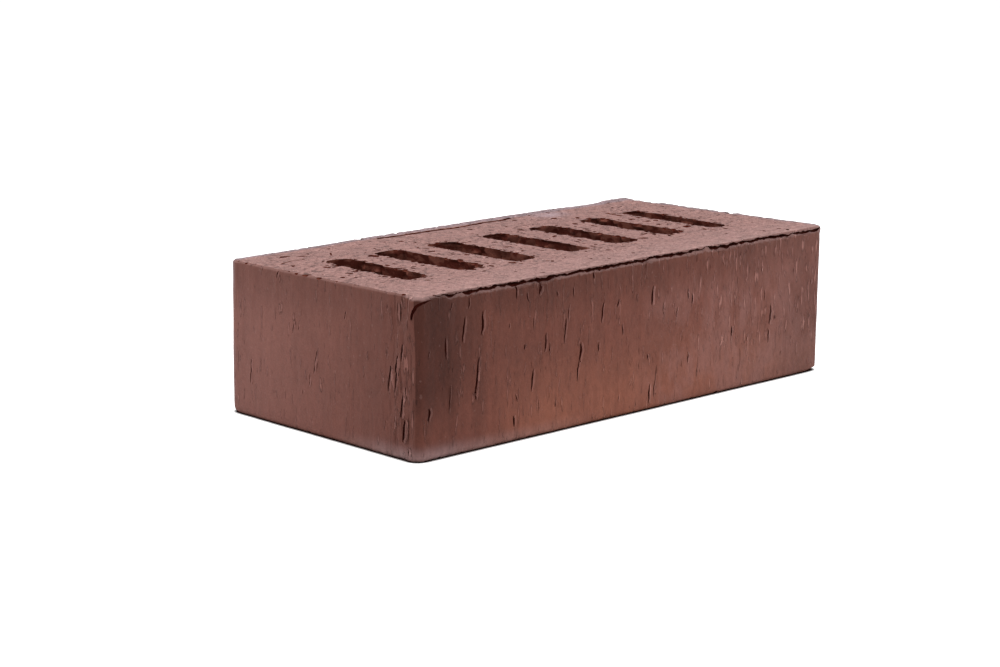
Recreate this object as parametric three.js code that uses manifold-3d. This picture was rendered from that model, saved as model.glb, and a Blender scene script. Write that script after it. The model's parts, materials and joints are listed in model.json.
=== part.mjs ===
// Clay facing brick of the single format, wire-cut from an extruded column, with one row of through slots.
// Millimetres, +Z up. The origin is the middle of the lower bed; X runs along the stretchers, Y across the headers.
import * as THREE from "three";
import { mergeVertices } from "three/addons/utils/BufferGeometryUtils.js";
import Module from "manifold-3d";

const wasm = await Module();
wasm.setup();

// Body
const LENGTH = 250; // header face to header face
const WIDTH = 120; // stretcher face to stretcher face
const HEIGHT = 65; // lower bed to upper bed, between two cuts of the wire
const CORNER_RADIUS = 4; // the four upright arrises, rounded by the mouth of the die
const LOWER_ARRIS = 2; // radius round the lower bed, where the green brick sat on its pallet
const UPPER_ARRIS = 1.2; // radius round the upper bed

// Slots, through the whole height
const SLOT_COUNT = 7;
const SLOT_WIDTH = 14;
const SLOT_RADIUS = 3; // corners of the die's cores
const END_WALL = 25; // clay between a header face and the nearest slot
const SIDE_WALL = 32; // clay between a stretcher face and the ends of the slots

// Burr: the wire leaves the clay at the front stretcher and folds a thin lip over it, with a seam beneath
const LIP_THICKNESS = 1.5; // upper bed to the mouth of the seam
const SEAM_MOUTH = 1.3; // open height of the seam at the face
const SEAM_DEPTH = 2; // how far the lip is undercut
const SEAM_SHOULDER = 0.9; // rounding of the face just below the seam
const SEAM_START = 12; // where the seam opens, from the left header face
const SEAM_FADE = 10; // length over which it reaches its full depth
const LIP_SAG = 0.25; // how far the lip wanders up and down
const LIP_SAG_PITCH = 41; // length of one wander

// Finish of the mesh
const ARC_STEPS = 5; // facets in a quarter round
const SEAM_STEP = 4; // length of one facet along the seam
const OVERCUT = 5; // how far a cutting tool runs past the clay

const FIRED_CLAY = new THREE.MeshStandardMaterial({ color: 0x774a40, roughness: 0.92, metalness: 0 });

const FRONT = -WIDTH / 2;
const LEFT = -LENGTH / 2;
const RIGHT = LENGTH / 2;

// Rectangle with round corners, centred on (x, y).
function roundedRectangle(x, y, width, depth, radius) {
  const right = x + width / 2 - radius;
  const left = x - width / 2 + radius;
  const back = y + depth / 2 - radius;
  const front = y - depth / 2 + radius;
  const quarter = Math.PI / 2;
  return new THREE.Shape()
    .absarc(right, back, radius, 0, quarter)
    .absarc(left, back, radius, quarter, 2 * quarter)
    .absarc(left, front, radius, 2 * quarter, 3 * quarter)
    .absarc(right, front, radius, 3 * quarter, 4 * quarter);
}

// Turns a closed geometry into a solid that can be joined and cut.
function solid(geometry) {
  geometry.deleteAttribute("normal");
  geometry.deleteAttribute("uv");
  const merged = mergeVertices(geometry, 1e-4);
  const mesh = new wasm.Mesh({
    numProp: 3,
    vertProperties: merged.attributes.position.array,
    triVerts: new Uint32Array(merged.index.array),
  });
  return new wasm.Manifold(mesh);
}

// Turns a solid back into a geometry with one flat normal for each facet.
function geometryOf(body) {
  const { vertProperties, triVerts } = body.getMesh();
  const indexed = new THREE.BufferGeometry();
  indexed.setAttribute("position", new THREE.BufferAttribute(vertProperties, 3));
  indexed.setIndex(new THREE.BufferAttribute(triVerts, 1));
  const faceted = indexed.toNonIndexed();
  faceted.computeVertexNormals();
  return faceted;
}

// The column's outline as a block from one height to another, both beds rounded by the same arris radius.
function columnBlock(from, to, arris) {
  const outline = roundedRectangle(0, 0, LENGTH, WIDTH, CORNER_RADIUS);
  const block = new THREE.ExtrudeGeometry(outline, {
    depth: to - from - 2 * arris,
    curveSegments: ARC_STEPS,
    bevelThickness: arris,
    bevelSize: arris,
    bevelOffset: -arris,
    bevelSegments: ARC_STEPS,
  });
  block.translate(0, 0, from + arris);
  return solid(block);
}

// The lower and the upper arrises have radii of their own, so each comes from its own block.
function brickBody() {
  const roundedBelow = columnBlock(0, HEIGHT + OVERCUT, LOWER_ARRIS);
  const roundedAbove = columnBlock(-OVERCUT, HEIGHT, UPPER_ARRIS);
  return roundedBelow.intersect(roundedAbove);
}

function slotCore(index) {
  const firstCentre = LEFT + END_WALL + SLOT_WIDTH / 2;
  const lastCentre = RIGHT - END_WALL - SLOT_WIDTH / 2;
  const centre = THREE.MathUtils.lerp(firstCentre, lastCentre, index / (SLOT_COUNT - 1));
  const outline = roundedRectangle(centre, 0, SLOT_WIDTH, WIDTH - 2 * SIDE_WALL, SLOT_RADIUS);
  const core = new THREE.ExtrudeGeometry(outline, {
    depth: HEIGHT + 2 * OVERCUT,
    curveSegments: ARC_STEPS,
    bevelEnabled: false,
  });
  core.translate(0, 0, -OVERCUT);
  return solid(core);
}

// The mouth's upper edge follows the lip along the front face. The seam comes in from outside the face at its
// left end, so that it opens gradually, and leaves through the right header.
class SeamPath extends THREE.Curve {
  getPoint(t, target = new THREE.Vector3()) {
    const start = LEFT + SEAM_START;
    const x = THREE.MathUtils.lerp(start, RIGHT + OVERCUT, t);
    const opening = THREE.MathUtils.smoothstep(x, start, start + SEAM_FADE);
    const wander = LIP_SAG * Math.sin((2 * Math.PI * (x - start)) / LIP_SAG_PITCH);
    return target.set(x, FRONT - SEAM_DEPTH * (1 - opening), HEIGHT - LIP_THICKNESS + wander);
  }
}

// Section of the seam: a pocket under the lip with a round root, opening over a rounded shoulder. Along the path
// its first coordinate points out of the face and its second one down, from the lip's lower edge.
function seamSection() {
  const root = SEAM_MOUTH / 2;
  const rootCentre = root - SEAM_DEPTH;
  const shoulderEnd = SEAM_MOUTH + SEAM_SHOULDER;
  return new THREE.Shape()
    .moveTo(OVERCUT, 0)
    .lineTo(OVERCUT, shoulderEnd)
    .lineTo(0, shoulderEnd)
    .quadraticCurveTo(0, SEAM_MOUTH, -SEAM_SHOULDER, SEAM_MOUTH)
    .lineTo(rootCentre, SEAM_MOUTH)
    .absarc(rootCentre, root, root, Math.PI / 2, 1.5 * Math.PI)
    .closePath();
}

function seamCut() {
  const path = new SeamPath();
  const cut = new THREE.ExtrudeGeometry(seamSection(), {
    steps: Math.ceil((LENGTH - SEAM_START) / SEAM_STEP),
    curveSegments: ARC_STEPS,
    extrudePath: path,
  });
  return solid(cut);
}

let clay = brickBody().subtract(seamCut());
for (let index = 0; index < SLOT_COUNT; index++) {
  clay = clay.subtract(slotCore(index));
}

const brick = new THREE.Mesh(geometryOf(clay), FIRED_CLAY);
brick.name = "brick";

const clayBrick = new THREE.Group();
clayBrick.add(brick);

export default clayBrick;
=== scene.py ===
"""A fired clay facing brick on a white table, made in the order in which a brickworks makes one.

A column of clay is extruded, cored, and cut by wires into bricks. The clay tears and drags as it leaves
the die, and the wire leaves pits, grains and a burr. Each step is an operator, and the panel lists them.
"""

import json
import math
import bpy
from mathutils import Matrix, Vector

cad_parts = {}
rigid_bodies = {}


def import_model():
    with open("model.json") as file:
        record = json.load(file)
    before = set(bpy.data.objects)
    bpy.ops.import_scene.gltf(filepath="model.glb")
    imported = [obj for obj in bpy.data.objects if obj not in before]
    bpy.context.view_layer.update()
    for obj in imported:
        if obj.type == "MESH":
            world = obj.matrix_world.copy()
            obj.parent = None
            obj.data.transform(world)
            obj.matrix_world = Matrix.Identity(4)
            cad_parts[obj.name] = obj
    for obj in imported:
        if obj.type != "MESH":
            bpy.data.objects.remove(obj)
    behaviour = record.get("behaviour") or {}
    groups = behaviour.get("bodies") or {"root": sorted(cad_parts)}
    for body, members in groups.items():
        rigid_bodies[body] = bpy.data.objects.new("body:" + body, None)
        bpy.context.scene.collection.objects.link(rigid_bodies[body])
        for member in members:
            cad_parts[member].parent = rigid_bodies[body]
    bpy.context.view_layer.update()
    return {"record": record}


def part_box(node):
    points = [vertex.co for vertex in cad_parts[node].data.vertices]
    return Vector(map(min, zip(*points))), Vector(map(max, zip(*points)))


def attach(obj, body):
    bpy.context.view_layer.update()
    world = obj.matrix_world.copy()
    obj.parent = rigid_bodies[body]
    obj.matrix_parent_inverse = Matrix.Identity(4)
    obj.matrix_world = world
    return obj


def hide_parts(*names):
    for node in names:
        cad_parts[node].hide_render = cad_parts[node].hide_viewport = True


bl_info = {
    "name": "Clay Facing Brick",
    "version": (1, 0, 0),
    "blender": (4, 5, 0),
    "location": "View3D > Sidebar > Clay Brick",
    "description": "Makes a wire-cut facing brick with through slots, and the white table that it lies on",
    "category": "Object",
}

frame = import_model()

import bpy
from mathutils import Matrix, Vector

MM = 0.001
UP, BACK = (0.0, 0.0, 1.0), (0.0, 1.0, 0.0)
NODE = "brick"
LOW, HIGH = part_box(NODE)
SIZE = HIGH - LOW
OPENINGS = frame["record"]["physics"]["openings"]
SLOTS = [[Vector(corner) for corner in opening["box_m"]] for opening in OPENINGS]
SLOT_CLEARANCE = 0.9 * MM  # gap between a stated opening and the walls of its slot

WALL_MARK = "wall"  # the face attribute that says which tool left a face
DRAWN, WIRE_CUT, CORED, TORN, LIFTED, SLIT = 0.0, 1.0, 2.0, 3.0, 4.0, 5.0  # its values
HOLLOW_MARK = "hollow"  # the point attribute that is 1 in torn clay and in the hollows of slot walls
HELPER_MARK = "helper"  # the property of objects that go once the brick is fired
WIRES = ("Upper wire", "Lower wire")
CUTTERS = (
    "Cores", "Burr seam", "Burr lip", "Tears", "Pits", "Holes", "Chips", "Lower pits", "Lower chips",
    "Scratches",
)
CREASE_ANGLE = math.radians(38.0)  # faces that meet at more than this keep a sharp edge between them
LOOSE_FACES = 3000.0  # a bit of clay with fewer faces than this has come loose from the brick

# How the cores stand: mm to the right and to the back of where they should, turn in degrees, and width and
# length as shares of the usual ones
CORES = (
    (-1.4, 0.0, -3.6, 0.86, 1.0),
    (-2.2, 0.0, -1.0, 1.02, 1.0),
    (-2.4, 0.0, -2.2, 1.0, 1.0),
    (-0.6, 0.0, 0.0, 0.95, 1.0),
    (-1.2, 0.0, -0.5, 1.0, 0.99),
    (0.2, 0.2, -1.2, 0.9, 0.99),
    (-1.6, 0.9, -2.8, 0.72, 1.04),
)

# The slit under the burr: mm from the left end, mm below the bed, and its mouth as a share of the usual one
SEAM_PATH = (
    (8.0, 0.2, 0.3), (14.0, 0.35, 0.45), (18.0, 0.55, 0.7), (19.6, 0.6, 0.75), (20.6, 0.5, 0.15),
    (23.8, 0.5, 0.15), (24.8, 0.5, 0.75), (31.0, 0.55, 0.85), (32.6, 0.2, 0.8), (39.0, 0.1, 0.9),
    (46.0, 0.2, 1.1), (53.0, 0.2, 1.15), (66.0, 0.25, 1.1), (67.5, 0.55, 1.2), (79.0, 0.35, 1.0),
    (81.2, 0.3, 0.9), (82.8, 0.8, 0.9), (85.0, 0.3, 0.9), (93.0, 0.15, 0.8), (96.0, 0.1, 0.9),
    (100.0, 0.15, 1.1), (108.0, 0.45, 1.0), (118.0, 0.25, 0.9), (130.4, 0.4, 1.0), (131.6, 0.05, 0.8),
    (139.0, 0.05, 0.8), (144.0, 0.25, 0.8), (148.0, 0.5, 0.9), (156.4, 0.5, 0.8), (157.6, 0.1, 0.7),
    (163.0, 0.35, 0.8), (166.8, 0.4, 0.9), (168.2, 0.1, 0.15), (170.4, 0.1, 0.15), (171.2, 0.15, 0.8),
    (177.0, 0.4, 1.05), (189.2, 0.6, 1.0), (190.8, 0.3, 0.6), (196.0, 0.55, 0.6), (199.0, 0.4, 1.0),
    (206.0, 0.15, 0.75), (212.0, 0.6, 1.1), (219.0, 0.5, 0.9), (225.4, 0.9, 1.0), (226.8, 0.7, 0.55),
    (230.0, 0.7, 0.7), (238.0, 0.75, 0.95), (244.0, 0.6, 0.85), (248.0, 0.2, 0.6),
)

# Sections of that slit and of its rounded lower lip, for a mouth of 1: how far out of the face and down
SLIT_SECTION = ((1.6, 1.05), (-0.4, 0.95), (-2.6, 0.4), (1.6, 0.0))
LIP_SECTION = ((1.6, 2.0), (-0.03, 1.6), (-0.15, 1.2), (-0.5, 0.85), (1.6, 0.5))

# Long tears in the front: mm from the left end, lowest and highest mm, strength, and lean in mm
FRONT_TEARS = (
    (6.2, 15.5, 21.5, 1.0, 0.3), (6.0, 40.0, 44.0, 0.2, 0.5), (15.0, 39.0, 48.0, 0.6, 0.2),
    (17.8, 57.5, 60.5, 0.2, 0.2), (17.6, 17.0, 29.0, 0.1, 0.4), (24.8, 44.0, 54.5, 0.8, 1.4),
    (27.7, 57.5, 61.5, 0.3, 0.3), (35.1, 45.5, 55.3, 0.9, 0.4), (32.4, 20.5, 37.6, 0.9, 2.2),
    (31.6, 20.5, 24.0, 0.3, 0.0), (53.8, 57.5, 65.0, 0.7, 0.0), (53.3, 6.0, 10.8, 0.8, -0.4),
    (54.6, 16.0, 19.5, 0.2, -0.8), (60.2, 55.5, 60.0, 0.4, -0.5), (58.8, 36.5, 38.8, 0.3, 0.0),
    (63.4, 18.5, 28.5, 0.8, 1.3), (67.4, 57.5, 64.5, 0.9, 1.0), (67.4, 8.0, 15.0, 0.1, 0.3),
    (70.8, 33.8, 42.0, 0.6, 0.4), (73.3, 33.5, 37.5, 0.4, 0.2), (77.0, 10.5, 13.0, 0.2, 0.0),
    (82.1, 35.4, 46.0, 0.6, 0.7), (63.6, 42.6, 49.0, 0.2, 0.2), (87.0, 53.5, 58.0, 0.3, -0.8),
    (91.3, 26.5, 35.0, 0.9, 1.2), (90.0, 18.5, 27.5, 0.5, 0.6), (98.7, 59.5, 63.0, 0.5, 0.0),
    (104.4, 41.0, 50.0, 0.6, 1.1), (102.3, 29.5, 33.0, 0.3, 0.0), (113.7, 46.0, 49.5, 0.4, 0.9),
    (116.8, 34.0, 39.0, 0.2, -0.4), (132.7, 21.5, 24.0, 0.3, 0.0), (135.1, 44.5, 52.5, 1.0, 0.8),
    (134.3, 2.5, 11.0, 0.6, 0.6), (137.8, 5.0, 18.0, 0.2, 1.2), (142.4, 39.5, 44.5, 0.3, 0.3),
    (151.0, 37.0, 41.5, 0.3, 0.3), (158.0, 44.0, 49.0, 0.3, 0.0), (160.5, 41.5, 46.0, 0.5, 0.2),
    (164.9, 8.0, 18.5, 0.2, 1.0), (187.3, 23.5, 28.5, 0.6, 0.5), (209.0, 36.0, 41.0, 0.3, -0.3),
    (213.4, 25.5, 35.0, 1.0, 0.9), (212.6, 17.2, 23.5, 0.5, 0.3), (216.6, 27.0, 33.0, 0.1, 0.8),
    (233.6, 33.0, 36.5, 0.2, 0.2),
)

# And in the left header, where the first is mm from the back
HEADER_TEARS = (
    (15.2, 14.2, 25.0, 0.5, 0.7), (57.4, 25.0, 35.5, 0.6, 2.2), (43.5, 40.0, 46.0, 0.3, 1.5),
    (47.0, 42.0, 46.0, 0.1, 0.5), (32.8, 61.0, 64.5, 0.5, 0.8), (76.5, 51.0, 54.0, 0.2, 1.0),
    (90.0, 36.0, 39.5, 0.1, 0.2), (103.6, 26.0, 36.5, 1.2, 1.3), (107.8, 34.0, 41.5, 1.1, 1.3),
    (102.0, 38.5, 43.0, 0.2, 0.0), (111.2, 17.0, 27.5, 1.3, 1.0), (112.3, 7.0, 16.5, 1.3, 0.6),
    (114.8, 2.5, 5.8, 0.8, 0.0), (107.0, 24.0, 28.5, 0.4, 0.4), (107.6, 27.0, 35.5, 0.7, 0.6),
    (113.6, 23.5, 30.0, 0.3, -0.3), (108.1, 54.5, 61.5, 0.9, 0.2), (110.2, 60.0, 62.5, 0.4, 0.0),
    (101.9, 57.5, 60.5, 0.3, 0.2), (110.9, 39.0, 46.0, 0.8, 0.2), (108.5, 43.5, 46.5, 0.3, 0.2),
    (106.9, 48.0, 51.0, 0.2, 0.1),
)

# Larger holes in the upper bed: mm from the left end, mm from the front, and radius in mm
BED_HOLES = (
    (20.6, 108.0, 1.6), (27.5, 104.0, 1.3), (7.5, 54.0, 1.1), (23.0, 76.5, 1.2), (20.5, 60.5, 1.0),
    (21.0, 43.0, 1.1), (45.6, 53.0, 0.9), (50.4, 83.5, 2.4), (50.2, 52.5, 1.1), (58.0, 31.8, 1.9),
    (58.8, 24.5, 0.9), (61.9, 93.5, 1.2), (69.4, 30.8, 1.1), (76.3, 75.0, 1.3), (79.4, 82.0, 1.0),
    (78.0, 63.3, 1.0), (80.6, 57.6, 1.2), (81.0, 30.2, 1.5), (84.4, 103.3, 1.2), (86.3, 96.4, 0.9),
    (72.5, 42.6, 0.9), (112.0, 72.0, 1.0), (128.3, 105.0, 1.1), (142.0, 65.0, 1.2), (143.9, 88.0, 1.5),
    (145.8, 99.0, 0.9), (138.9, 48.3, 1.0), (132.6, 23.3, 1.1), (165.8, 34.0, 1.5), (166.4, 69.0, 1.2),
    (173.9, 82.6, 1.5), (176.4, 74.0, 1.1), (173.3, 41.0, 1.0), (178.9, 100.8, 1.4), (188.3, 94.5, 1.2),
    (202.0, 73.3, 1.4), (208.3, 75.0, 1.1), (203.3, 65.2, 1.5), (208.0, 64.0, 1.2), (211.2, 69.0, 1.1),
    (199.6, 54.5, 1.2), (204.5, 42.0, 1.9), (212.0, 26.0, 0.9),
)

# Furrows in the upper bed: radius in mm, then mm from the left end and from the front
SCRATCHES = (
    (0.5, ((8.5, 95.4), (12.0, 97.0), (17.0, 98.2), (20.0, 97.6), (24.0, 98.4))),
    (0.6, ((17.5, 107.0), (20.0, 108.6), (24.0, 107.6))),
    (0.45, ((38.0, 97.0), (40.0, 99.4), (42.0, 102.2))),
    (1.1, ((208.2, 95.0), (207.6, 92.4), (207.7, 89.6), (206.9, 86.0), (206.4, 83.4))),
    (0.5, ((205.0, 34.0), (204.8, 29.0), (205.2, 25.0))),
    (0.4, ((88.0, 36.0), (87.0, 32.0), (85.0, 29.0))),
    (0.9, (
        (80.0, 114.4), (95.0, 113.8), (110.0, 113.9), (128.0, 112.8), (145.0, 113.6), (158.0, 113.2),
        (164.0, 114.6),
    )),
)

# The hooked tear round the near arris: mm from the left end, from the front and above the table, and radius
HOOK = (
    (0.1, 3.9, 53.4, 0.2), (0.1, 3.8, 55.4, 0.6), (0.15, 3.4, 57.6, 0.8), (0.4, 2.7, 59.8, 0.85),
    (0.9, 1.9, 61.2, 0.7), (1.7, 1.0, 62.0, 0.6), (3.4, 0.2, 62.7, 0.5), (5.4, 0.0, 63.1, 0.35),
    (8.0, 0.0, 63.3, 0.1),
)

# How far the kiln pulled the top of each upright, in mm. Its foot moves as far sideways, but doesn't rise
KILN_DRIFT = (
    ("Near drift", (-1.6, 0.8, 1.0)),
    ("Right drift", (-0.3, 0.0, 1.5)),
    ("Left drift", (1.6, -1.6, -0.4)),
    ("Far drift", (0.0, 0.9, -0.8)),
)

# Lamps, all white: name, place and aim in metres, width and depth in metres, watts
LAMPS = (
    ("overhead", (0.05, 0.15, 1.30), (0.0, 0.0, 0.0), 1.4, 1.2, 21.0),
    ("left window", (-0.50, 0.42, 0.30), (-0.1, 0.0, 0.03), 0.4, 0.4, 1.5),
    ("left front window", (-0.70, -0.35, 0.30), (0.0, -0.03, 0.03), 0.4, 0.4, 1.4),
    ("front window", (-0.35, -0.75, 0.33), (0.0, -0.06, 0.03), 0.4, 0.4, 1.55),
    ("right window", (0.62, -0.45, 0.28), (0.05, 0.0, 0.03), 0.35, 0.4, 2.7),
)
ROOM_FILL = 0.15  # strength of the light that the white room gives, where 1 is what the camera sees of it

WHITE = (1.0, 1.0, 1.0, 1.0)
TABLE_WHITE, TABLE_CONTACT_SHADOW = (0.7, 0.7, 0.7, 1.0), (0.030, 0.008, 0.006, 1.0)  # in the open, and under an arris
TABLE_GLOW, TABLE_REACH = 0.85, 5.0  # how much brighter the camera sees it, and metres from middle to edge
SENSOR_WIDTH = 36.0  # mm

# How fine the forms are: mm between their points, rings up a core, and steps up the middle of the column.
# Its other rings stand close together at the arrises, at these mm above its foot and below its top
COLUMN_SPACING, UPPER_WIRE_SPACING, LOWER_WIRE_SPACING = 1.05, 1.45, 3.0
CORE_SPACING, SEAM_SPACING, SCRATCH_SPACING = 1.8, 1.1, 1.0
CORE_RINGS, MIDDLE_STEPS = 23, 23
FOOT_RINGS = (-3.0, 0.0, 0.15, 0.4, 0.8, 1.3, 2.0)
TOP_RINGS = (3.6, 2.6, 1.8, 1.2, 0.8, 0.45, 0.15, -0.3, -3.0)
CORNER_POINTS = 8  # round each corner of a section

# How rough they are, in mm, and for small tears the least mm between two and the most on a square metre
SEAM_RAGGEDNESS, TEAR_BEND, SCRATCH_RAGGEDNESS, GRAIN_DEPTH = 1.8, 1.8, 0.5, 0.4
TEAR_SPACING, TEAR_DENSITY = 5.5, 11000.0

# What a tear leaves: name, face, its width, depth and length as shares of the tear's, and how far it lies to
# the side, as a share of its own half width
TEAR_KINDS = (
    ("Tears", TORN, 1.0, 1.0, 1.0, 0.0),
    ("Ridges", LIFTED, 1.6, 0.38, 1.05, 1.2),
)

# Marks scattered over the beds: name, wire whose cut they lie in, face they leave, 1 where they keep to the
# rims of slots and arrises, least and most radius in mm, height as a share of it, raggedness and spacing in
# mm, most on a square metre, subdivisions, and what they add to the seed
BED_MARKS = (
    ("Pits", "Upper wire", TORN, 0.0, 0.25, 1.0, 0.6, 0.75, 1.7, 60000.0, 1, 3),
    ("Holes", "Upper wire", TORN, 0.0, 0.7, 1.4, 0.6, 1.6, 5.0, 1500.0, 2, 4),
    ("Chips", "Upper wire", TORN, 1.0, 0.5, 1.7, 0.6, 0.8, 2.2, 200000.0, 1, 6),
    ("Grains", "Upper wire", WIRE_CUT, 0.0, 0.25, 0.7, 0.6, 0.15, 3.0, 9000.0, 1, 5),
    ("Lower pits", "Lower wire", TORN, 0.0, 0.4, 1.3, 0.7, 0.4, 3.0, 9000.0, 1, 8),
    ("Lower chips", "Lower wire", TORN, 1.0, 0.6, 1.9, 0.7, 0.8, 3.0, 60000.0, 1, 9),
)

# The socket that each kind of value goes in
SOCKETS = {
    float: "NodeSocketFloat",
    int: "NodeSocketInt",
    tuple: "NodeSocketVector",
    bpy.types.Object: "NodeSocketObject",
}


# --- Node trees ----------------------------------------------------------------------------


class Signal:
    """An output socket that can be written in sums, so that 1 - mask adds the Math node it needs."""

    def __init__(self, wires, socket):
        self.wires = wires
        self.socket = socket

    def also(self, index):
        """Another output of the node that this one comes from."""
        return Signal(self.wires, self.socket.node.outputs[index])

    def math(self, operation, *operands):
        return self.wires.node("ShaderNodeMath", {"operation": operation}, dict(enumerate(operands)))

    def __add__(self, other):
        return self.math("ADD", self, other)

    __radd__ = __add__

    def __sub__(self, other):
        return self.math("SUBTRACT", self, other)

    def __rsub__(self, other):
        return self.math("SUBTRACT", other, self)

    def __mul__(self, other):
        return self.math("MULTIPLY", self, other)

    __rmul__ = __mul__

    def __truediv__(self, other):
        return self.math("DIVIDE", self, other)

    def __pow__(self, other):
        return self.math("POWER", self, other)

    def __neg__(self):
        return self.math("MULTIPLY", self, -1.0)

    def __abs__(self):
        return self.math("ABSOLUTE", self)

    def least(self, other):
        return self.math("MINIMUM", self, other)

    def most(self, other):
        return self.math("MAXIMUM", self, other)

    def above(self, other):
        return self.math("GREATER_THAN", self, other)

    def rise(self, start, end):
        """0 up to start, 1 from end on, and smooth between them."""
        return self.wires.node(
            "ShaderNodeMapRange",
            {"interpolation_type": "SMOOTHSTEP"},
            {"Value": self, "From Min": start, "From Max": end},
        )

    def ramp(self, start, end):
        """The same rise, with start and end in mm."""
        return self.rise(start * MM, end * MM)


class Wires:
    """Adds nodes to a tree and links them."""

    def __init__(self, tree):
        self.tree = tree

    def node(self, kind, settings=None, sockets=None, out=0):
        """Adds a node, makes its settings, then fills its sockets with values or signals."""
        made = self.tree.nodes.new(kind)
        for name, value in (settings or {}).items():
            setattr(made, name, value)
        for key, value in (sockets or {}).items():
            for each in value if isinstance(value, list) else [value]:
                if isinstance(each, Signal):
                    self.tree.links.new(each.socket, made.inputs[key])
                else:
                    made.inputs[key].default_value = each
        return Signal(self, made.outputs[out]) if made.outputs else None

    def vector(self, operation, *operands, out=0):
        return self.node("ShaderNodeVectorMath", {"operation": operation}, dict(enumerate(operands)), out)

    def point(self, x=0.0, y=0.0, z=0.0):
        return self.node("ShaderNodeCombineXYZ", None, {0: x, 1: y, 2: z})

    def parts(self, vector):
        """The X, Y and Z of a vector."""
        split = self.node("ShaderNodeSeparateXYZ", None, {0: vector})
        return [split, split.also(1), split.also(2)]

    def scaled(self, vector, factor):
        sockets = {"Vector": vector, "Scale": factor}
        return self.node("ShaderNodeVectorMath", {"operation": "SCALE"}, sockets)

    def tinted(self, factor, colour, other):
        """The first colour, mixed with the other where the factor nears 1."""
        return self.node("ShaderNodeMix", {"data_type": "RGBA"}, {0: factor, 6: colour, 7: other}, out=2)

    def noise(self, place, grain, detail=2.0, rough=0.5, out=0):
        """Noise from 0 to 1, with lumps about as big as grain, in mm: one length, or one for each axis."""
        if isinstance(grain, tuple):
            place = self.vector("DIVIDE", place, tuple(side * MM for side in grain))
            scale = 1.0
        else:
            scale = 1.0 / (grain * MM)
        sockets = {"Vector": place, "Scale": scale, "Detail": detail, "Roughness": rough}
        return self.node("ShaderNodeTexNoise", None, sockets, out)

    def lumps(self, place, grain, height, detail=2.0):
        """Relief about zero, with lumps about as big as grain, in mm."""
        return (self.noise(place, grain, detail) - 0.5) * height

    def between(self, low, high, seed):
        """A random number for each point."""
        settings = {"data_type": "FLOAT"}
        return self.node("FunctionNodeRandomValue", settings, {2: low, 3: high, "Seed": seed}, out=1)

    def mark(self, label, kind="FLOAT"):
        return self.node("GeometryNodeInputNamedAttribute", {"data_type": kind}, {"Name": label})

    def marked(self, geometry, label, value, kind="FLOAT", domain="POINT"):
        return self.node(
            "GeometryNodeStoreNamedAttribute",
            {"data_type": kind, "domain": domain},
            {"Geometry": geometry, "Name": label, "Value": value},
        )

    def place(self):
        """Where each point of the mesh is."""
        return self.node("GeometryNodeInputPosition")

    def line(self, mesh):
        """The edges of a mesh, as a curve."""
        return self.node("GeometryNodeMeshToCurve", None, {"Mesh": mesh})

    def resampled(self, curve, spacing):
        sockets = {"Curve": curve, "Length": spacing}
        return self.node("GeometryNodeResampleCurve", {"mode": "LENGTH"}, sockets)

    def turned(self, axis, angle):
        return self.node("FunctionNodeAxisAngleToRotation", None, {"Axis": axis, "Angle": angle})

    def scattered(self, mesh, where, thickness, size):
        """Points over a mesh, no closer than Spacing, and at most Density times thickness a square metre."""
        return self.node(
            "GeometryNodeDistributePointsOnFaces",
            {"distribute_method": "POISSON"},
            {
                "Mesh": mesh,
                "Selection": where,
                "Distance Min": size["Spacing"],
                "Density Max": size["Density"],
                "Density Factor": thickness,
                "Seed": size["Seed"],
            },
        )

    def nearest(self, kind, target):
        """How far it is to the nearest of a mesh's POINTS or FACES."""
        return self.node("GeometryNodeProximity", {"target_element": kind}, {0: target}, out=1)

    def set_on(self, spots, shape, turn, scale):
        """The shape on each of the spots, turned and scaled there."""
        sockets = {"Points": spots, "Instance": shape, "Rotation": turn, "Scale": scale}
        return self.node("GeometryNodeInstanceOnPoints", None, sockets)

    def joined(self, shapes):
        return self.node("GeometryNodeJoinGeometry", None, {"Geometry": shapes})

    def realized(self, instances):
        return self.node("GeometryNodeRealizeInstances", None, {"Geometry": instances})

    def moved(self, geometry, offset):
        return self.node("GeometryNodeSetPosition", None, {"Geometry": geometry, "Offset": offset})

    def shifted(self, geometry, offset):
        """The geometry as a whole, moved."""
        return self.node("GeometryNodeTransform", None, {"Geometry": geometry, "Translation": offset})

    def shape(self, item):
        return self.node("GeometryNodeObjectInfo", None, {"Object": item}, out=4)


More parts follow.
